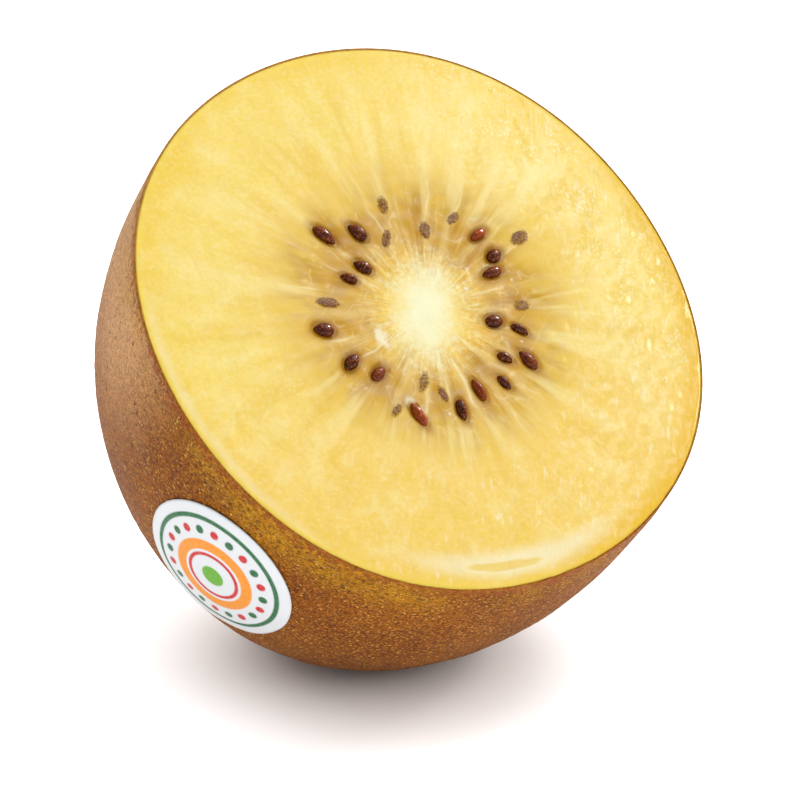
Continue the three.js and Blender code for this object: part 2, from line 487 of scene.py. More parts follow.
class Net:
    """The nodes of one material, written as expressions."""

    def __init__(self, name):
        self.material = bpy.data.materials.new(name)
        self.material.use_nodes = True
        self.tree = self.material.node_tree
        self.tree.nodes.clear()

    def node(self, kind, settings=None, inputs=None, output=0):
        """A node of a type: its settings first, then the values or links of its sockets."""
        made = self.tree.nodes.new("ShaderNode" + kind)
        for name, value in (settings or {}).items():
            if name == "stops":
                self.fill_ramp(made.color_ramp, value)
            else:
                setattr(made, name, value)
        for key, value in (inputs or {}).items():
            if isinstance(value, Socket):
                self.tree.links.new(value.output, made.inputs[key])
            else:
                made.inputs[key].default_value = value
        return Socket(self, made.outputs[output]) if len(made.outputs) else None

    def fill_ramp(self, ramp, stops):
        for _ in range(len(stops) - 2):
            ramp.elements.new(0.5)
        for element, (position, color) in zip(ramp.elements, stops):
            element.position = position
            element.color = (*color, 1)

    def math(self, operation, *values):
        return self.node("Math", {"operation": operation}, dict(enumerate(values)))

    def mix(self, share, low, high):
        """A colour between two, by a share from 0 to 1."""
        ends = [end if isinstance(end, Socket) else (*end, 1) for end in (low, high)]
        settings = {"data_type": "RGBA", "clamp_factor": True}
        return self.node("Mix", settings, {0: share, 6: ends[0], 7: ends[1]}, output=2)

    def over(self, color, share, red, green, blue):
        """A screen colour laid over another colour, by a share from 0 to 1."""
        return self.mix(share, color, linear(red, green, blue))

    def join(self, x, y, z):
        return self.node("CombineXYZ", None, {0: x, 1: y, 2: z})

    def split(self, vector):
        made = self.node("SeparateXYZ", None, {0: vector}).output.node
        return [Socket(self, made.outputs[axis]) for axis in range(3)]

    def place(self, fruit):
        """The point in the fruit's own frame, in millimetres."""
        settings = {"vector_type": "TEXTURE"}
        spot = self.node("TexCoord", output=3)
        inputs = {
            "Vector": spot,
            "Location": tuple(fruit.place),
            "Rotation": (TILT, 0, 0),
            "Scale": (MM, MM, MM),
        }
        return self.node("Mapping", settings, inputs)

    def value(self, name):
        return self.node("Attribute", {"attribute_name": name}, output=2)

    def noise(self, vector, scale=1.0, detail=2.0, rough=0.5, lacunarity=2.0):
        inputs = {
            "Vector": vector,
            "Scale": scale,
            "Detail": detail,
            "Roughness": rough,
            "Lacunarity": lacunarity,
        }
        return self.node("TexNoise", None, inputs)

    def cells(self, vector, scale):
        """Distance from the nearest of many scattered spots, and a random number of that spot."""
        made = self.node("TexVoronoi", None, {"Vector": vector, "Scale": scale}).output.node
        lot = self.split(Socket(self, made.outputs["Color"]))[0]
        return Socket(self, made.outputs["Distance"]), lot

    def bump(self, height, distance, strength=1.0):
        inputs = {"Height": height, "Distance": distance, "Strength": strength}
        return self.node("Bump", None, inputs)

    def finish(self, **inputs):
        """The surface, from the inputs of a Principled shader with spaces written as underscores."""
        sockets = {key.replace("_", " "): value for key, value in inputs.items()}
        shader = self.node("BsdfPrincipled", None, sockets)
        self.node("OutputMaterial", None, {"Surface": shader})
        return self.material


def flesh_material(fruit, colors):
    """Radial flesh: a pale core, clear seed chambers with thin walls, and mottled outer flesh."""
    net = Net("kiwi_flesh")
    place = net.place(fruit)
    x, y, _ = net.split(place)
    radius = (x * x + y * y + 0.01) ** 0.5
    wobble = net.noise(place, 0.22, 2) - 0.5
    east, north = x / radius, y / radius

    def streaks(count, pace, shift=0.0, detail=2.0, rough=0.5):
        """Noise drawn out along the radius: count sets how fine, pace how short the streaks are."""
        bend = wobble * 0.05 * count
        vector = net.join(east * count + bend, north * count - bend, radius * pace + shift)
        return net.noise(vector, 1, detail, rough)

    # Colour by distance from the middle, between the seeds.
    stops = [
        (0.0, linear(250, 228, 138)),
        (0.13, linear(255, 223, 126)),
        (0.19, linear(248, 206, 110)),
        (0.27, colors.chamber),
        (0.35, linear(219, 175, 95)),
        (0.42, linear(230, 191, 103)),
        (0.49, linear(241, 207, 118)),
        (0.58, linear(250, 220, 129)),
        (0.7, colors.flesh),
        (0.9, linear(253, 225, 127)),
        (1.0, linear(249, 214, 98)),
    ]
    reach = (radius + (streaks(7, 0.1, 3.0) - 0.5) * 5) / (fruit.sizes.cut_radius / MM)
    color = net.node("ValToRGB", {"stops": stops}, {0: reach})

    # Darker and lighter chambers, strongest round the seeds.
    zone = radius.ease(3.6, 6.2) * radius.ease(15, 9.5)
    chamber = streaks(4.5, 0.1, 11.0)
    color = net.over(color, zone * chamber.ease(0.5, 0.7) * 0.6, 190, 142, 66)
    color = net.over(color, zone * chamber.ease(0.48, 0.3) * 0.45, 240, 208, 138)
    smoke = net.noise(place, 0.42, 3, 0.6)
    color = net.over(color, zone * smoke.ease(0.46, 0.66) * 0.65, 208, 172, 124)

    # Pale walls between the chambers: a broad soft band with a thin bright line in it.
    angle = net.math("ARCTAN2", y, x)
    turns = angle * (CHAMBERS / TURN) - CHAMBER_START * CHAMBERS / TURN
    turns = turns + wobble * 0.8
    aside = abs(net.math("FRACT", turns) - 0.5) * radius * (TURN / CHAMBERS)
    along_wall = radius.ease(3.4, 5.5) * radius.ease(16, 9.5)
    wall = aside.ease(0.62, 0.05) * along_wall * streaks(4, 0.1, 23.0).ease(0.36, 0.62)
    line = aside.ease(0.17, 0.02) * along_wall * streaks(5, 0.2, 29.0).ease(0.44, 0.62)
    color = net.over(color, wall * 0.5, 250, 222, 152)
    color = net.over(color, line * 0.6, 255, 242, 196)

    # Fine fibres that run out of the core, and fainter ones further out.
    threads = streaks(22, 0.35, 5.0, 3)
    fibre = threads.ease(0.5, 0.66) * (0.3 + streaks(4, 0.15, 71.0).ease(0.4, 0.58) * 0.7)
    frayed = radius + (streaks(2.5, 0, 51.0, 3) - 0.5) * 7
    near = frayed.ease(3, 4.4) * frayed.ease(8, 5)
    color = net.over(color, fibre * near * 0.6, 255, 240, 172)
    gap = threads.ease(0.5, 0.36) * frayed.ease(3.4, 4.6) * frayed.ease(8, 5)
    color = net.over(color, gap * 0.42, 214, 171, 90)
    faint = fibre * radius.ease(5, 8) * radius.ease(17, 11)
    color = net.over(color, faint * 0.2, 255, 234, 165)

    # Grainy flesh between the core and the seeds.
    grit = net.noise(place, 2.1, 3, 0.65)
    grainy_ring = radius.ease(2.4, 4) * radius.ease(8, 4.5)
    color = net.over(color, grainy_ring * grit.ease(0.52, 0.64) * 0.32, 255, 244, 182)
    color = net.over(color, grainy_ring * grit.ease(0.48, 0.36) * 0.3, 224, 180, 98)

    # Loose curled threads, and painted highlights of wet glints here and there between the seeds.
    curl = abs(net.noise(place, 0.36, 1) - 0.5).ease(0.02, 0.004)
    loose = net.noise(place, 0.9, 1).ease(0.46, 0.58) * radius.ease(4.5, 6) * radius.ease(13, 10)
    color = net.over(color, curl * loose * 0.31, 255, 238, 186)
    gap, lot = net.cells(place, 0.62)
    ragged = gap + (grit - 0.5) * 0.35
    painted_glint = ragged.ease(0.15, 0.04) * lot.ease(0.72, 0.8) * radius.ease(3.5, 5) * radius.ease(12, 9)
    color = net.over(color, painted_glint * 0.75, 255, 251, 228)

    # Broad soft rays that fade out into the outer flesh.
    rays = streaks(8, 0.06, 31.0, 3)
    outer = radius.ease(9, 12.5) * radius.ease(26, 16)
    color = net.over(color, outer * rays.ease(0.5, 0.66) * 0.6, 255, 239, 170)
    color = net.over(color, outer * rays.ease(0.5, 0.36) * 0.6, 243, 206, 104)

    # Mottled outer flesh, warmer below, with short pale dashes of painted highlight on the right
    # side.
    flesh_zone = radius.ease(12, 16)
    color = net.over(color, flesh_zone * y.ease(-1, -14) * 0.6, 253, 214, 124)
    mottle = streaks(9, 0.35, 61.0, 5, 0.62)
    color = net.over(color, flesh_zone * mottle.ease(0.5, 0.68) * 0.45, 248, 215, 104)
    color = net.over(color, flesh_zone * mottle.ease(0.5, 0.36) * 0.45, 255, 236, 164)
    grain = net.noise(place, 2.4, 3, 0.6)
    color = net.over(color, flesh_zone * grain.ease(0.5, 0.7) * 0.3, 247, 213, 98)
    color = net.over(color, flesh_zone * grain.ease(0.5, 0.3) * 0.3, 255, 242, 180)
    cut = math.radians(23)
    drawn = net.join(x * math.cos(cut) - y * math.sin(cut), x * math.sin(cut) + y * math.cos(cut), 3)
    settings = {"operation": "MULTIPLY"}
    drawn = net.node("VectorMath", settings, {0: drawn, 1: (2.1, 0.62, 1)})
    dash = net.noise(drawn, 1, 2).ease(0.55, 0.75)
    patch = net.noise(place, 0.3, 1).ease(0.38, 0.58)
    # The pale dashes on the right side are painted highlight.
    side = (x * 0.8 - y * 0.75).ease(-4, 16)
    color = net.over(color, dash * radius.ease(11, 17) * patch * side * 0.6, 255, 247, 212)
    # Pale specks of painted highlight in the upper right.
    highlight_speck = net.noise(drawn, 0.8, 3, 0.6).ease(0.52, 0.7)
    upper = (x * 0.9 + y * 0.3).ease(9, 20)
    color = net.over(color, highlight_speck * upper * radius.ease(13, 18) * 0.35, 255, 246, 200)
    gap, lot = net.cells(place, 2.8)
    grainy = upper * radius.ease(15, 20) * net.noise(place, 0.35, 1).ease(0.4, 0.58)
    color = net.over(color, grainy * gap.ease(0.4, 0.6) * 0.4, 246, 210, 96)
    color = net.over(color, grainy * gap.ease(0.45, 0.2) * lot * 0.7, 255, 248, 206)

    # The pale core is an uneven oval with fibres in its edge.
    lean = math.radians(62)
    along = x * math.cos(lean) + y * math.sin(lean)
    across = y * math.cos(lean) - x * math.sin(lean)
    oval = ((along / 7.9) ** 2 + (across / 4.7) ** 2) ** 0.5
    oval = oval - (fibre - 0.4) * 0.15 - (grit - 0.5) * 0.6
    oval = oval + (net.noise(place, 0.5, 2) - 0.5) * 0.7
    color = net.mix(oval.ease(1.0, 0.15) * 0.95, color, colors.core)

    # Seeds under the surface show as speckled shadows, and open ones sit in sockets with a painted
    # highlight on the side that faces the light.
    buried = net.value("buried")
    fray = net.noise(place, 3.6, 3, 0.65) - 0.5
    shade = (buried + fray * 1.3).ease(0.12, 0.8) * buried.ease(0.02, 0.3)
    spotted = net.noise(place, 5.5, 2, 0.6).ease(0.42, 0.62)
    shadow = net.mix(spotted, linear(124, 93, 46), linear(172, 131, 78))
    color = net.mix(shade * 0.95, color, shadow)
    # A warm ring round each open seed: partly the clear flesh's own tint, partly painted shade round
    # the seed.
    color = net.over(color, net.value("warm") * 0.6, 176, 124, 64)
    # The socket mask is painted highlight, broken up by noise.
    halo = net.noise(place, 0.9, 1).ease(0.42, 0.56)
    color = net.over(color, net.value("socket") * halo * 0.9, 255, 246, 214)
    # Painted glare of a reflection along the lower rim.
    color = net.over(color, net.value("pale") * 0.9, 255, 246, 208)
    color = net.over(color, net.value("notch") * 0.8, 250, 219, 122)

    # Deep gold next to the skin, with a hair of brown.
    edge = net.value("from_rim")
    gold = (x * 0.85 - y * 0.5).ease(8, 24)
    color = net.over(color, edge.ease(0.9, 0.2) * 0.5, 255, 227, 116)
    color = net.over(color, edge.ease(2.4, 0.1) * gold * 0.7, 243, 192, 58)
    cream = edge.ease(1.5, 0.8) * edge.ease(0.2, 0.6) * (x * -0.97 - y * 0.26).ease(20, 25)
    color = net.over(color, cream * 0.4, 252, 240, 196)
    color = net.over(color, edge.ease(0.12, 0.0) * 0.5, 230, 178, 70)

    # The colours above are as seen, so the light and the gloss are taken off.
    settings = {"operation": "MULTIPLY_ADD"}
    inputs = {0: color, 1: (FLESH_SHARE,) * 3, 2: (-FLESH_GLOSS,) * 3}
    color = net.node("VectorMath", settings, inputs)
    color = net.node("VectorMath", {"operation": "MAXIMUM"}, {0: color, 1: (0.005,) * 3})

    height = grain * flesh_zone * 0.35 + fibre * grainy_ring * 0.3 + smoke * 0.8
    right = east.ease(-0.1, 0.8) * radius.ease(13, 19)
    wet = net.noise(place, 0.8, 2).ease(0.35, 0.7)
    return net.finish(
        Base_Color=color,
        Roughness=0.34 + wet * 0.2,
        IOR=1.38,
        Subsurface_Weight=0.3,
        Subsurface_Radius=(1.0, 0.62, 0.22),
        Subsurface_Scale=1.0 * MM,
        Specular_IOR_Level=0.4,
        Coat_Weight=0.12 + right * 0.5,
        Coat_Roughness=0.12,
        Normal=net.bump(height + (highlight_speck + dash) * right * 0.2, 0.13 * MM),
    )


def skin_material(fruit, colors):
    """Brown skin with golden flecks, dark pores and an olive tint next to the cut."""
    net = Net("kiwi_skin")
    place = net.place(fruit)
    x, y, depth = net.split(place)
    below = depth * -1
    broad = net.noise(place, 0.11, 3, 0.55)
    color = net.mix(broad.ease(0.35, 0.68), colors.skin, linear(136, 76, 10))
    color = net.over(color, net.noise(place, 0.5, 3).ease(0.5, 0.7) * 0.2, 92, 44, 6)

    # A paler patch with few flecks, on one side next to the cut: partly the skin's own paler tan,
    # partly painted sheen.
    bare_and_sheen = (x * -0.9 + y * 0.43).ease(20, 25.5) * below.ease(22, 4)
    color = net.over(color, bare_and_sheen * 0.85, 209, 161, 111)

    # Olive next to the cut, where light comes through the flesh.
    facing = (x * -0.75 - y * 0.66).ease(22, 26)
    cloud = net.noise(place, 0.2, 2).ease(0.42, 0.62)
    olive = below.ease(6, 0.3) * (0.08 + cloud * 0.35 + facing * 0.55)
    color = net.over(color, olive * 0.85, 186, 138, 6)

    # Golden dashes and dust on a dark ground, drawn out round the fruit.
    drawn = net.join(x, y, depth * 1.8)
    thick = 1 - bare_and_sheen * 0.55
    grain = net.noise(drawn, 2.2, 3, 0.65)
    color = net.over(color, grain.ease(0.58, 0.38) * thick * 0.75, 60, 22, 2)
    fine = net.noise(drawn, 5.5, 2, 0.6)
    color = net.over(color, fine.ease(0.5, 0.36) * (0.35 + thick * 0.3), 70, 28, 4)
    color = net.mix(fine.ease(0.54, 0.68) * thick * 0.6, color, colors.fleck)
    gap, lot = net.cells(drawn, 2.3)
    patchy = net.noise(place, 0.35, 2) * 1.2
    dash = gap.ease(0.44, 0.2) * (lot + patchy).ease(0.75, 1.35) * (0.3 + fine.ease(0.4, 0.56) * 0.7)
    dash_color = net.mix(bare_and_sheen, linear(238, 175, 78), linear(240, 188, 132))
    color = net.mix(dash * (thick * 0.8 + 0.15), color, dash_color)
    gap, lot = net.cells(drawn, 4.2)
    dust = gap.ease(0.4, 0.2) * lot.ease(0.5, 0.9)
    dust_color = net.mix(bare_and_sheen, linear(214, 140, 44), linear(224, 172, 122))
    color = net.mix(dust * (0.25 + thick * 0.45), color, dust_color)

    # Sparse dark pores, and short red brown dashes on the pale patch.
    gap, lot = net.cells(net.join(x, y, depth * 0.6), 0.9)
    dark = gap.ease(0.2, 0.1) * lot.ease(0.4, 0.5)
    color = net.over(color, dark * 0.7, 84, 38, 16)
    gap, lot = net.cells(net.join(x, y, depth * 2.2), 1.25)
    stroke = gap.ease(0.26, 0.12) * lot.ease(0.15, 0.4) * bare_and_sheen.ease(0.05, 0.4)
    color = net.over(color, stroke * 0.8, 142, 68, 30)

    # Thin brown rim that catches the light on the far side of the cut.
    lip = net.value("lip")
    ragged = net.noise(place, 2.0, 3, 0.6)
    warm = net.mix(ragged.ease(0.42, 0.58), linear(132, 74, 26), linear(206, 148, 62))
    color = net.mix(lip * 0.85, color, warm)
    color = net.over(color, below.ease(1.8, 0.2) * ragged.ease(0.46, 0.56) * 0.85, 126, 54, 18)
    far = (x * 0.6 + y * 0.8).ease(-12, 4)
    edge = (below + (ragged - 0.5) * 0.8).ease(0.7, 0.1)
    color = net.over(color, edge * far * 0.75, 176, 128, 70)
    height = dash * 0.9 + dust * 0.4 + fine * 0.5 + grain * 0.4 - dark * 0.6
    return net.finish(
        Base_Color=color,
        Roughness=0.6 - dash * 0.2,
        IOR=1.4,
        Specular_IOR_Level=0.06,
        Sheen_Weight=0.04,
        Sheen_Roughness=0.45,
        Sheen_Tint=(1.0, 0.74, 0.5, 1),
        Normal=net.bump(height, 0.18 * MM),
    )


def seed_material(fruit, colors):
    """Dark glossy seed coat, from black brown to chestnut, speckled and finely pitted."""
    net = Net("kiwi_seed")
    place = net.place(fruit)
    tone = net.value("tone")
    pit = net.value("pit")
    color = net.mix(tone.ease(0.55, 1.0), colors.seed, linear(118, 44, 8))
    color = net.over(color, net.noise(place, 2.4, 3).ease(0.46, 0.68) * 0.45, 116, 50, 8)
    speckle = net.noise(place, 6.5, 2, 0.6)
    color = net.over(color, speckle.ease(0.54, 0.68) * 0.5, 168, 106, 48)
    color = net.over(color, pit.ease(0.6, 1.0) * 0.25, 140, 80, 30)
    return net.finish(
        Base_Color=color,
        Roughness=0.35,
        Specular_IOR_Level=0.04,
        Coat_Weight=0.22,
        Coat_Roughness=0.1,
        Normal=net.bump(speckle + pit * 0.5, 0.06 * MM),
    )


def scar_material(fruit):
    """Dry, cracked stem scar."""
    net = Net("kiwi_stem_scar")
    place = net.place(fruit)
    grain = net.noise(place, 2.4, 4, 0.65)
    color = net.mix(grain.ease(0.35, 0.65), linear(58, 34, 18), linear(132, 92, 54))
    settings = {"feature": "DISTANCE_TO_EDGE"}
    edges = net.node("TexVoronoi", settings, {"Vector": place, "Scale": 1.6})
    crack = edges.ease(0.08, 0.0)
    color = net.over(color, crack * 0.7, 40, 22, 12)
    return net.finish(
        Base_Color=color,
        Roughness=0.85,
        Specular_IOR_Level=0.2,
        Normal=net.bump(grain - crack * 0.6, 0.25 * MM),
    )


def label_material(colors):
    """White coated paper printed with plain rings and dots."""
    net = Net("kiwi_label")
    u, v, _ = net.split(net.node("UVMap", {"uv_map": "print"}))
    x, y = u * 2 - 1, v * 2 - 1
    reach = (x * x + y * y) ** 0.5
    green, leaf = linear(0, 84, 38), linear(84, 146, 24)
    red, amber = linear(172, 8, 16), linear(206, 124, 6)
    soft = 0.012

    def ring(middle, half_width):
        return abs(reach - middle).ease(half_width + soft, half_width - soft)

    color = net.mix(ring(0.83, 0.03), colors.paper, green)
    color = net.mix(ring(0.46, 0.07), color, amber)
    color = net.mix(ring(0.33, 0.024), color, red)
    color = net.mix(reach.ease(0.15 + soft, 0.15 - soft), color, leaf)
    turns = net.math("ARCTAN2", y, x) * (LABEL_DOTS / TURN)
    aside = (net.math("FRACT", turns) - 0.5) * (TURN / LABEL_DOTS) * reach
    off = ((reach - 0.665) ** 2 + aside**2) ** 0.5
    other = net.math("FRACT", (turns - net.math("FRACT", turns)) / 2 + 0.01)
    dot_color = net.mix(other.ease(0.2, 0.3), green, red)
    color = net.mix(off.ease(0.055 + soft, 0.055 - soft), color, dot_color)
    fibres = net.noise(net.join(x * FIBRE_SPREAD[0], y * FIBRE_SPREAD[1], 0), 3, 3)
    color = net.over(color, fibres.ease(0.3, 0.7) * 0.08, 205, 206, 204)
    return net.finish(
        Base_Color=color,
        Roughness=0.5,
        IOR=1.45,
        Specular_IOR_Level=0.12,
        Normal=net.bump(fibres, 0.01 * MM),
    )


def seed_reach(seeds, index, x, y):
    """Distance from a seed's middle as a share of its outline's, and how much of the socket's
    painted highlight falls there.
    """
    angle = seeds["angle"][index]
    turn = angle + seeds["turn"][index]
    dx = x - seeds["radius"][index] * math.cos(angle)
    dy = y - seeds["radius"][index] * math.sin(angle)
    along = (dx * math.cos(turn) + dy * math.sin(turn)) / seeds["length"][index]
    across = (dy * math.cos(turn) - dx * math.sin(turn)) / seeds["width"][index]
    lit = ease(-0.3, 0.7, np.cos(np.arctan2(dy, dx) - SOCKET_HIGHLIGHT_ANGLE))
    return 2 / SEED_SHRINK * np.hypot(along, across), lit


def mark_reach(angle, radius, mark):
    """Distance from the middle of a mark bent round the core, as a share of its outline's."""
    middle, middle_radius, half_length, half_width = mark
    around = (angle - middle + math.pi) % TURN - math.pi
    return np.hypot(around * middle_radius / half_length, (radius - middle_radius) / half_width)


def face_marks(seeds, radius, angle, from_rim):
    """Height of the cut face and the masks that its colours need."""
    x, y = radius * np.cos(angle), radius * np.sin(angle)
    shape = np.broadcast(x, y).shape
    buried, warm, socket = np.zeros(shape), np.zeros(shape), np.zeros(shape)
    height = waves(x, y, FACE_SWELL) + waves(x, y, FACE_GRAIN)
    chambers = ease(3.5 * MM, 6 * MM, radius) * ease(13 * MM, 10 * MM, radius)
    height -= CHAMBER_SINK * chambers
    height += chambers * waves(x, y, CHAMBER_RIPPLE)
    for index, exposure in enumerate(seeds["exposure"]):
        reach, lit = seed_reach(seeds, index, x, y)
        if exposure >= SHOWN_FROM:
            # The warm ring is partly the clear flesh's own tint and partly painted shade round the
            # seed.
            warm = np.maximum(warm, ease(2.2, 1.1, reach))
            # Painted highlight on the side of the socket that faces the light, strongest round the
            # palest seeds.
            bright = lit * (0.15 + 0.85 * ease(HIGHLIGHT_TONE, HIGHLIGHT_TONE + 0.03, seeds["tone"][index]))
            socket = np.maximum(socket, bright * np.exp(-(((reach - 1.35) / 0.25) ** 2)))
            height -= SOCKET_DIP * ease(1.5, 1.1, reach)
            height += SOCKET_BROW * np.exp(-(((reach - 1.6) / 0.2) ** 2))
        else:
            strength = 0.65 + 1.2 * exposure
            buried = np.maximum(buried, strength * ease(1.35, 0.5, reach))
            height += BURIED_HUMP * ease(1.3, 0.4, reach)
    notch = mark_reach(angle, radius, NOTCH)
    # The pale arc is painted glare of a reflection on the lower rim.
    pale = mark_reach(angle, radius, GLARE_ARC)
    wet = mark_reach(angle, radius, WET_HIGHLIGHT)
    # The wet spot is painted highlight, laid into the socket highlight mask.
    socket = np.maximum(socket, ease(1.4, 0.3, wet))
    height -= NOTCH_SINK * ease(1.1, 0.7, notch)
    height *= ease(0, 0.8 * MM, from_rim)
    height -= RIM_SINK * ease(0.3 * MM, 0, from_rim)
    masks = {
        "buried": buried,
        "warm": warm,
        "socket": socket,
        "notch": ease(1.1, 0.85, notch),
        "pale": 0.85 * ease(1.3, 0.3, pale),
        "from_rim": from_rim / MM,
    }
    return height, masks


def face_radii(edge):
    """Ring radii of the cut face as shares of the edge, closest together where the seeds lie."""
    parts = [
        np.linspace(0.02, 0.17, 20, endpoint=False),
        np.linspace(0.17, 0.53, 86, endpoint=False),
        np.linspace(0.53, 0.97, 58, endpoint=False),
        np.linspace(0.97, 1.0, 7),
    ]
    return np.concatenate(parts)[:, None] * edge


def build_flesh(fruit, colors):
    """The cut face is a height over the polar plane, and its wall runs inside the skin."""
    angle = sector_angles(FLESH_SECTORS)
    inset = fruit.sizes.skin_thickness + FLESH_GAP
    edge = fruit.rim(angle) - inset
    radius = face_radii(edge)
    around = np.broadcast_to(angle, radius.shape)
    height, masks = face_marks(seed_layout(), radius, around, edge - radius)
    face = np.stack([radius * np.cos(around), radius * np.sin(around), height], -1)
    depth, turn = np.meshgrid(depth_rows(FLESH_ROWS)[1:], angle, indexing="ij")
    wall = fruit.skin(depth, turn) - inset * fruit.normal(depth, turn)
    end = fruit.skin(np.array(1.0), np.array(0.0)) + np.array([0, 0, inset])
    rings = np.concatenate([face, wall])
    points = fruit.row(stacked(rings, np.zeros(3), end), inset + FLOOR_GAP + FLESH_GAP)
    values = {}
    for name, mask in masks.items():
        rest = 30.0 if name == "from_rim" else 0.0
        below = np.zeros(wall.shape[:2])
        values[name] = np.concatenate([mask.ravel(), below.ravel(), [rest, 0.0]])
    faces = ring_faces(len(rings), FLESH_SECTORS)
    material = flesh_material(fruit, colors)
    make_piece("flesh", points, faces, material, "flesh", "kiwi_half", values=values)


def build_skin(fruit, colors):
    """A thin closed shell: inner wall from the stem end up, the cut lip, outer wall back down."""
    rows = SKIN_ROWS
    depth, turn = np.meshgrid(depth_rows(rows), sector_angles(SKIN_SECTORS), indexing="ij")
    out = fruit.normal(depth, turn)
    outer = fruit.skin(depth, turn)
    span = depth * fruit.sizes.half_length
    arc = turn[0] * fruit.sizes.cut_radius
    x, y, z = np.moveaxis(outer, -1, 0)
    ripple = waves(x + z, y - z, SKIN_SWELL) + waves(x, y + z, SKIN_GRAIN)
    ripple *= ease(0, 1.5 * MM, span)
    outer = outer + (ripple - SKIN_SINK)[..., None] * out
    inner = fruit.skin(depth, turn) - fruit.sizes.skin_thickness * out
    share = (np.arange(1, LIP_ROWS + 1) / (LIP_ROWS + 1))[:, None, None]
    lip = inner[0] + (outer[0] - inner[0]) * share
    uneven = waves(arc, 0 * arc, LIP_RIPPLE)
    lip[..., 2] += (LIP_RISE + uneven) * np.sin(math.pi * share[..., 0])
    rings = np.concatenate([inner[::-1], lip, outer])
    end = fruit.skin(np.array(1.0), np.array(0.0))
    thick = fruit.sizes.skin_thickness
    points = fruit.row(stacked(rings, end + np.array([0, 0, thick]), end), FLOOR_GAP)
    inside = points[: rows * SKIN_SECTORS]
    inside[:, 2] = np.maximum(inside[:, 2], thick + FLOOR_GAP)
    lip_mask = np.zeros((len(rings), SKIN_SECTORS))
    lip_mask[rows - 1 : rows + LIP_ROWS + 1] = 1
    values = {"lip": np.concatenate([lip_mask.ravel(), [0.0, 0.0]])}
    faces = ring_faces(len(rings), SKIN_SECTORS)
    make_piece("skin", points, faces, skin_material(fruit, colors), "skin", values=values)


def seed_shape(length, width, thickness, tone):
    """A drop of three half axes, round at one end, dimpled by a lattice of shallow pits."""
    sweep = math.pi * (np.arange(SEED_ROWS) + 0.5) / SEED_ROWS
    along, around = np.meshgrid(sweep, sector_angles(SEED_SECTORS), indexing="ij")
    drop = np.sin(along) ** (1.2 - 0.25 * np.cos(along)) * (1 + 0.1 * np.cos(along))
    lattice = np.cos(9 * along) * np.cos(8 * around)
    lattice += 0.5 * np.cos(17 * along + 5 * around + 9 * tone)
    pit = ease(-0.2, 1.2, lattice) * np.sin(along)
    swell = 1 - 0.06 * pit
    x = length / 2 * np.cos(along)
    y = width / 2 * drop * swell * np.cos(around)
    z = thickness / 2 * drop * swell * np.sin(around)
    rings = np.stack([x, y, z], -1)
    points = stacked(rings, [length / 2, 0, 0], [-length / 2, 0, 0])
    pits = np.concatenate([pit.ravel(), [0.0, 0.0]])
    return points, ring_faces(SEED_ROWS, SEED_SECTORS), pits


def build_seeds(fruit, colors):
    """Each open seed is a drop laid in its socket, with its long axis near the radius."""
    seeds = seed_layout()
    thickness = fruit.sizes.seed_thickness
    points, faces, pits, tones = [], [], [], []
    count = 0
    for index in np.flatnonzero(seeds["exposure"] >= SHOWN_FROM):
        angle, exposure, tone = (seeds[key][index] for key in ("angle", "exposure", "tone"))
        length, width = (SEED_SHRINK * seeds[key][index] for key in ("length", "width"))
        shape = seed_shape(length, width, thickness, tone)
        turn = angle + seeds["turn"][index] + (math.pi if tone < 0.5 else 0)
        pitch = SEED_PITCH * (tone - 0.5)
        spin = np.array(Matrix.Rotation(turn, 3, "Z") @ Matrix.Rotation(pitch, 3, "Y"))
        radius = seeds["radius"][index]
        height = between(SEED_PROUD, exposure) - thickness / 2
        middle = np.array([radius * math.cos(angle), radius * math.sin(angle), height])
        points.append(shape[0] @ spin.T + middle)
        faces.append(shape[1] + count)
        pits.append(shape[2])
        tones.append(np.full(len(shape[0]), tone))
        count += len(shape[0])
    values = {"pit": np.concatenate(pits), "tone": np.concatenate(tones)}
    placed = fruit.row(np.concatenate(points))
    material = seed_material(fruit, colors)
    make_piece("seeds", placed, np.concatenate(faces), material, "seed", values=values)


def build_stem_scar(fruit):
    """A low button turned round the stem end, with a dip in its middle and a torn edge."""
    rows, sectors = 40, 96
    share, around = np.meshgrid(np.linspace(0.03, 1, rows), sector_angles(sectors), indexing="ij")
    torn = 1 + 0.05 * np.sin(7 * around) + 0.03 * np.sin(17 * around + 1)
    radius = SCAR_RADIUS * share * (1 + (torn - 1) * share)
    crown = 0.6 + 0.4 * np.sin(math.pi * np.clip(share / 1.05, 0, 1)) ** 2
    top = SCAR_HEIGHT * crown * ease(1.0, 0.84, share) - SCAR_ROOT * ease(0.86, 1.0, share)
    x, y = radius * np.cos(around), radius * np.sin(around)
    top += waves(x, y, SCAR_RIPPLE)
    rings = np.stack([x, y, -top], -1)[::-1]
    under = np.array([0, 0, 1.5 * SCAR_ROOT])
    tip = np.array([0, 0, -0.6 * SCAR_HEIGHT])
    end = fruit.skin(np.array(1.0), np.array(0.0))
    points = fruit.row(stacked(rings, under, tip) + end)
    make_piece("stem_scar", points, ring_faces(rows, sectors), scar_material(fruit), "skin")


def label_points(fruit, share, angle, height):
    """A point over the skin inside the label, which is an ellipse in the skin's own measures."""
    sizes = fruit.sizes
    x = sizes.label_half_length * share * np.cos(angle)
    y = sizes.label_half_width * share * np.sin(angle)
    along = x * math.cos(LABEL_TURN) - y * math.sin(LABEL_TURN)
    round_it = x * math.sin(LABEL_TURN) + y * math.cos(LABEL_TURN)
    depth = LABEL_DEPTH + along / sizes.half_length
    turn = LABEL_ANGLE + round_it / sizes.cut_radius
    return fruit.skin(depth, turn) + height[..., None] * fruit.normal(depth, turn)


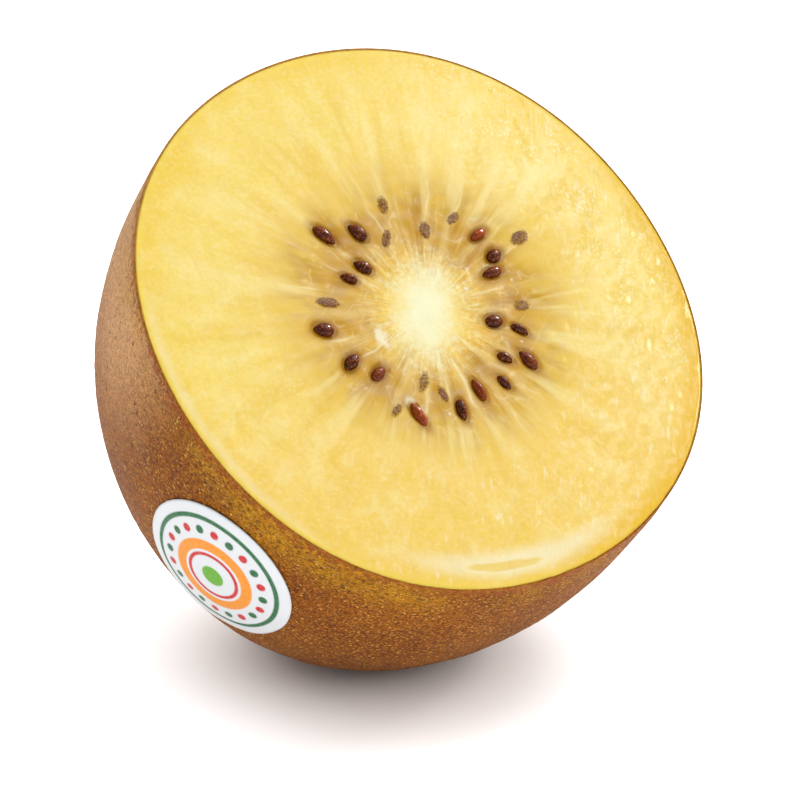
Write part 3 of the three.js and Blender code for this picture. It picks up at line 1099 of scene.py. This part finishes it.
def build_label(fruit, colors):
    """Paper that follows the skin: upper face outwards from the middle, then back underneath."""
    sectors, rows = 180, 30
    share = np.arange(1, rows + 1) / rows
    out, turn = np.meshgrid(share, sector_angles(sectors), indexing="ij")
    lift = LABEL_GAP + waves(out * np.cos(turn), out * np.sin(turn), LABEL_RIPPLE)
    top = label_points(fruit, out, turn, lift + fruit.sizes.label_thickness)
    bottom = label_points(fruit, out, turn, lift)
    rings = np.concatenate([top, bottom[::-1]])
    middle = np.zeros(())
    low = lift[0].mean()
    first = label_points(fruit, middle, middle, low + fruit.sizes.label_thickness)
    last = label_points(fruit, middle, middle, low)
    points = fruit.row(stacked(rings, first, last))
    flat = np.stack([out * np.cos(turn), out * np.sin(turn)], -1)
    both = np.concatenate([flat, flat[::-1]]).reshape(-1, 2)
    uv = 0.5 + 0.5 * np.concatenate([both, np.zeros((2, 2))])
    faces = ring_faces(len(rings), sectors)
    make_piece("label", points, faces, label_material(colors), "label", "label", uv=uv)


def area_light(name, direction, distance, size, power, only=None):
    """A square soft light that faces the fruit, or that lights only one object."""
    light = bpy.data.lights.new(name, "AREA")
    light.size = size
    light.energy = power
    lamp = link(name, light)
    away = Vector(direction).normalized()
    lamp.location = Vector((0, 0, LIGHT_AIM_HEIGHT)) + away * distance
    lamp.rotation_euler = away.to_track_quat("Z", "Y").to_euler()
    if only:
        lit = bpy.data.collections.new("lit_by_" + name)
        lit.objects.link(only)
        lamp.light_linking.receiver_collection = lit


def build_floor():
    """A flat round floor of rings about the origin."""
    reach, rows, sectors = 1.6, 12, 64
    radius, angle = np.meshgrid(
        reach * (np.arange(1, rows + 1) / rows) ** 2,
        sector_angles(sectors),
        indexing="ij",
    )
    points = np.stack([radius * np.cos(angle), radius * np.sin(angle), 0 * radius], -1)
    here = np.arange(sectors)
    after = (here + 1) % sectors
    middle = np.stack([np.full(sectors, rows * sectors), here, after], 1)
    row = sectors * np.arange(rows - 1)[:, None]
    quads = np.stack([row + here, row + sectors + here, row + sectors + after, row + after], -1)
    mesh = bpy.data.meshes.new("floor")
    corners = middle.tolist() + quads.reshape(-1, 4).tolist()
    mesh.from_pydata([*points.reshape(-1, 3).tolist(), (0, 0, 0)], [], corners)
    net = Net("floor")
    mesh.materials.append(net.finish(Base_Color=(0.95, 0.95, 0.95, 1), Roughness=0.8, IOR=1.3))
    floor = link("floor", mesh)
    return floor


def build_camera(fruit):
    """A long lens at the photograph's viewing angle."""
    sin_a, cos_a = math.sin(CAMERA_AZIMUTH), math.cos(CAMERA_AZIMUTH)
    sin_e, cos_e = math.sin(CAMERA_ELEVATION), math.cos(CAMERA_ELEVATION)
    back = Vector((sin_a * cos_e, -cos_a * cos_e, sin_e))
    right = Vector((cos_a, sin_a, 0))
    up = back.cross(right)
    camera = bpy.data.cameras.new("camera")
    camera.lens = CAMERA_LENS
    eye = link("camera", camera)
    aim = Vector(fruit.place) + CAMERA_AIM[0] * right + CAMERA_AIM[1] * up
    turned = Matrix((right, up, back)).transposed().to_4x4()
    eye.matrix_world = Matrix.Translation(aim + CAMERA_DISTANCE * back) @ turned
    bpy.context.scene.camera = eye


class KIWI_OT_flesh(bpy.types.Operator):
    """Build the cut flesh"""

    bl_idname = "kiwi.flesh"
    bl_label = "Flesh"
    bl_options = {"REGISTER", "UNDO"}

    def execute(self, context):
        build_flesh(Fruit(context.scene.kiwi_sizes), context.scene.kiwi_colors)
        return {"FINISHED"}


class KIWI_OT_seeds(bpy.types.Operator):
    """Build the seeds that lie open in the cut"""

    bl_idname = "kiwi.seeds"
    bl_label = "Seeds"
    bl_options = {"REGISTER", "UNDO"}

    def execute(self, context):
        build_seeds(Fruit(context.scene.kiwi_sizes), context.scene.kiwi_colors)
        return {"FINISHED"}


class KIWI_OT_skin(bpy.types.Operator):
    """Build the skin and the stem scar"""

    bl_idname = "kiwi.skin"
    bl_label = "Skin"
    bl_options = {"REGISTER", "UNDO"}

    def execute(self, context):
        fruit = Fruit(context.scene.kiwi_sizes)
        build_skin(fruit, context.scene.kiwi_colors)
        build_stem_scar(fruit)
        return {"FINISHED"}


class KIWI_OT_label(bpy.types.Operator):
    """Build the paper label"""

    bl_idname = "kiwi.label"
    bl_label = "Label"
    bl_options = {"REGISTER", "UNDO"}

    def execute(self, context):
        build_label(Fruit(context.scene.kiwi_sizes), context.scene.kiwi_colors)
        return {"FINISHED"}


class KIWI_OT_stage(bpy.types.Operator):
    """Build the floor, the lights and the camera"""

    bl_idname = "kiwi.stage"
    bl_label = "Stage"
    bl_options = {"REGISTER", "UNDO"}

    def execute(self, context):
        floor = build_floor()
        seeds = bpy.data.objects["seeds"]
        area_light("key_light", (0.35, -0.1, 0.93), distance=0.9, size=0.6, power=3.6)
        area_light("side_light", (0.74, -0.33, 0.6), distance=0.8, size=0.14, power=0.8)
        area_light("floor_light", (0.2, -0.02, 1), distance=1.2, size=5.0, power=127.0, only=floor)
        area_light("seed_light", (0.73, 0.07, 0.68), distance=0.6, size=0.08, power=7.0, only=seeds)
        world = bpy.data.worlds.new("studio")
        world.use_nodes = True
        sky = world.node_tree.nodes["Background"]
        sky.inputs["Color"].default_value = (1, 1, 1, 1)
        sky.inputs["Strength"].default_value = SKY_STRENGTH
        context.scene.world = world
        context.scene.view_settings.view_transform = "Standard"
        build_camera(Fruit(context.scene.kiwi_sizes))
        return {"FINISHED"}


class KIWI_PT_panel(bpy.types.Panel):
    """Sizes, colours and pieces of the kiwi fruit"""

    bl_idname = "KIWI_PT_panel"
    bl_label = "Golden Kiwi"
    bl_space_type = "VIEW_3D"
    bl_region_type = "UI"
    bl_category = "Kiwi"

    def draw(self, context):
        for group in (context.scene.kiwi_sizes, context.scene.kiwi_colors):
            box = self.layout.box()
            for name in group.__annotations__:
                box.prop(group, name)
        for operator in OPERATORS:
            self.layout.operator(operator.bl_idname)


OPERATORS = (KIWI_OT_flesh, KIWI_OT_seeds, KIWI_OT_skin, KIWI_OT_label, KIWI_OT_stage)
CLASSES = (KiwiSizes, KiwiColors, *OPERATORS, KIWI_PT_panel)


def register():
    for cls in CLASSES:
        bpy.utils.register_class(cls)
    bpy.types.Scene.kiwi_sizes = PointerProperty(type=KiwiSizes)
    bpy.types.Scene.kiwi_colors = PointerProperty(type=KiwiColors)


def unregister():
    del bpy.types.Scene.kiwi_colors
    del bpy.types.Scene.kiwi_sizes
    for cls in reversed(CLASSES):
        bpy.utils.unregister_class(cls)


def main():
    register()
    bpy.ops.kiwi.flesh()
    bpy.ops.kiwi.seeds()
    bpy.ops.kiwi.skin()
    bpy.ops.kiwi.label()
    bpy.ops.kiwi.stage()


if __name__ == "__main__":
    main()
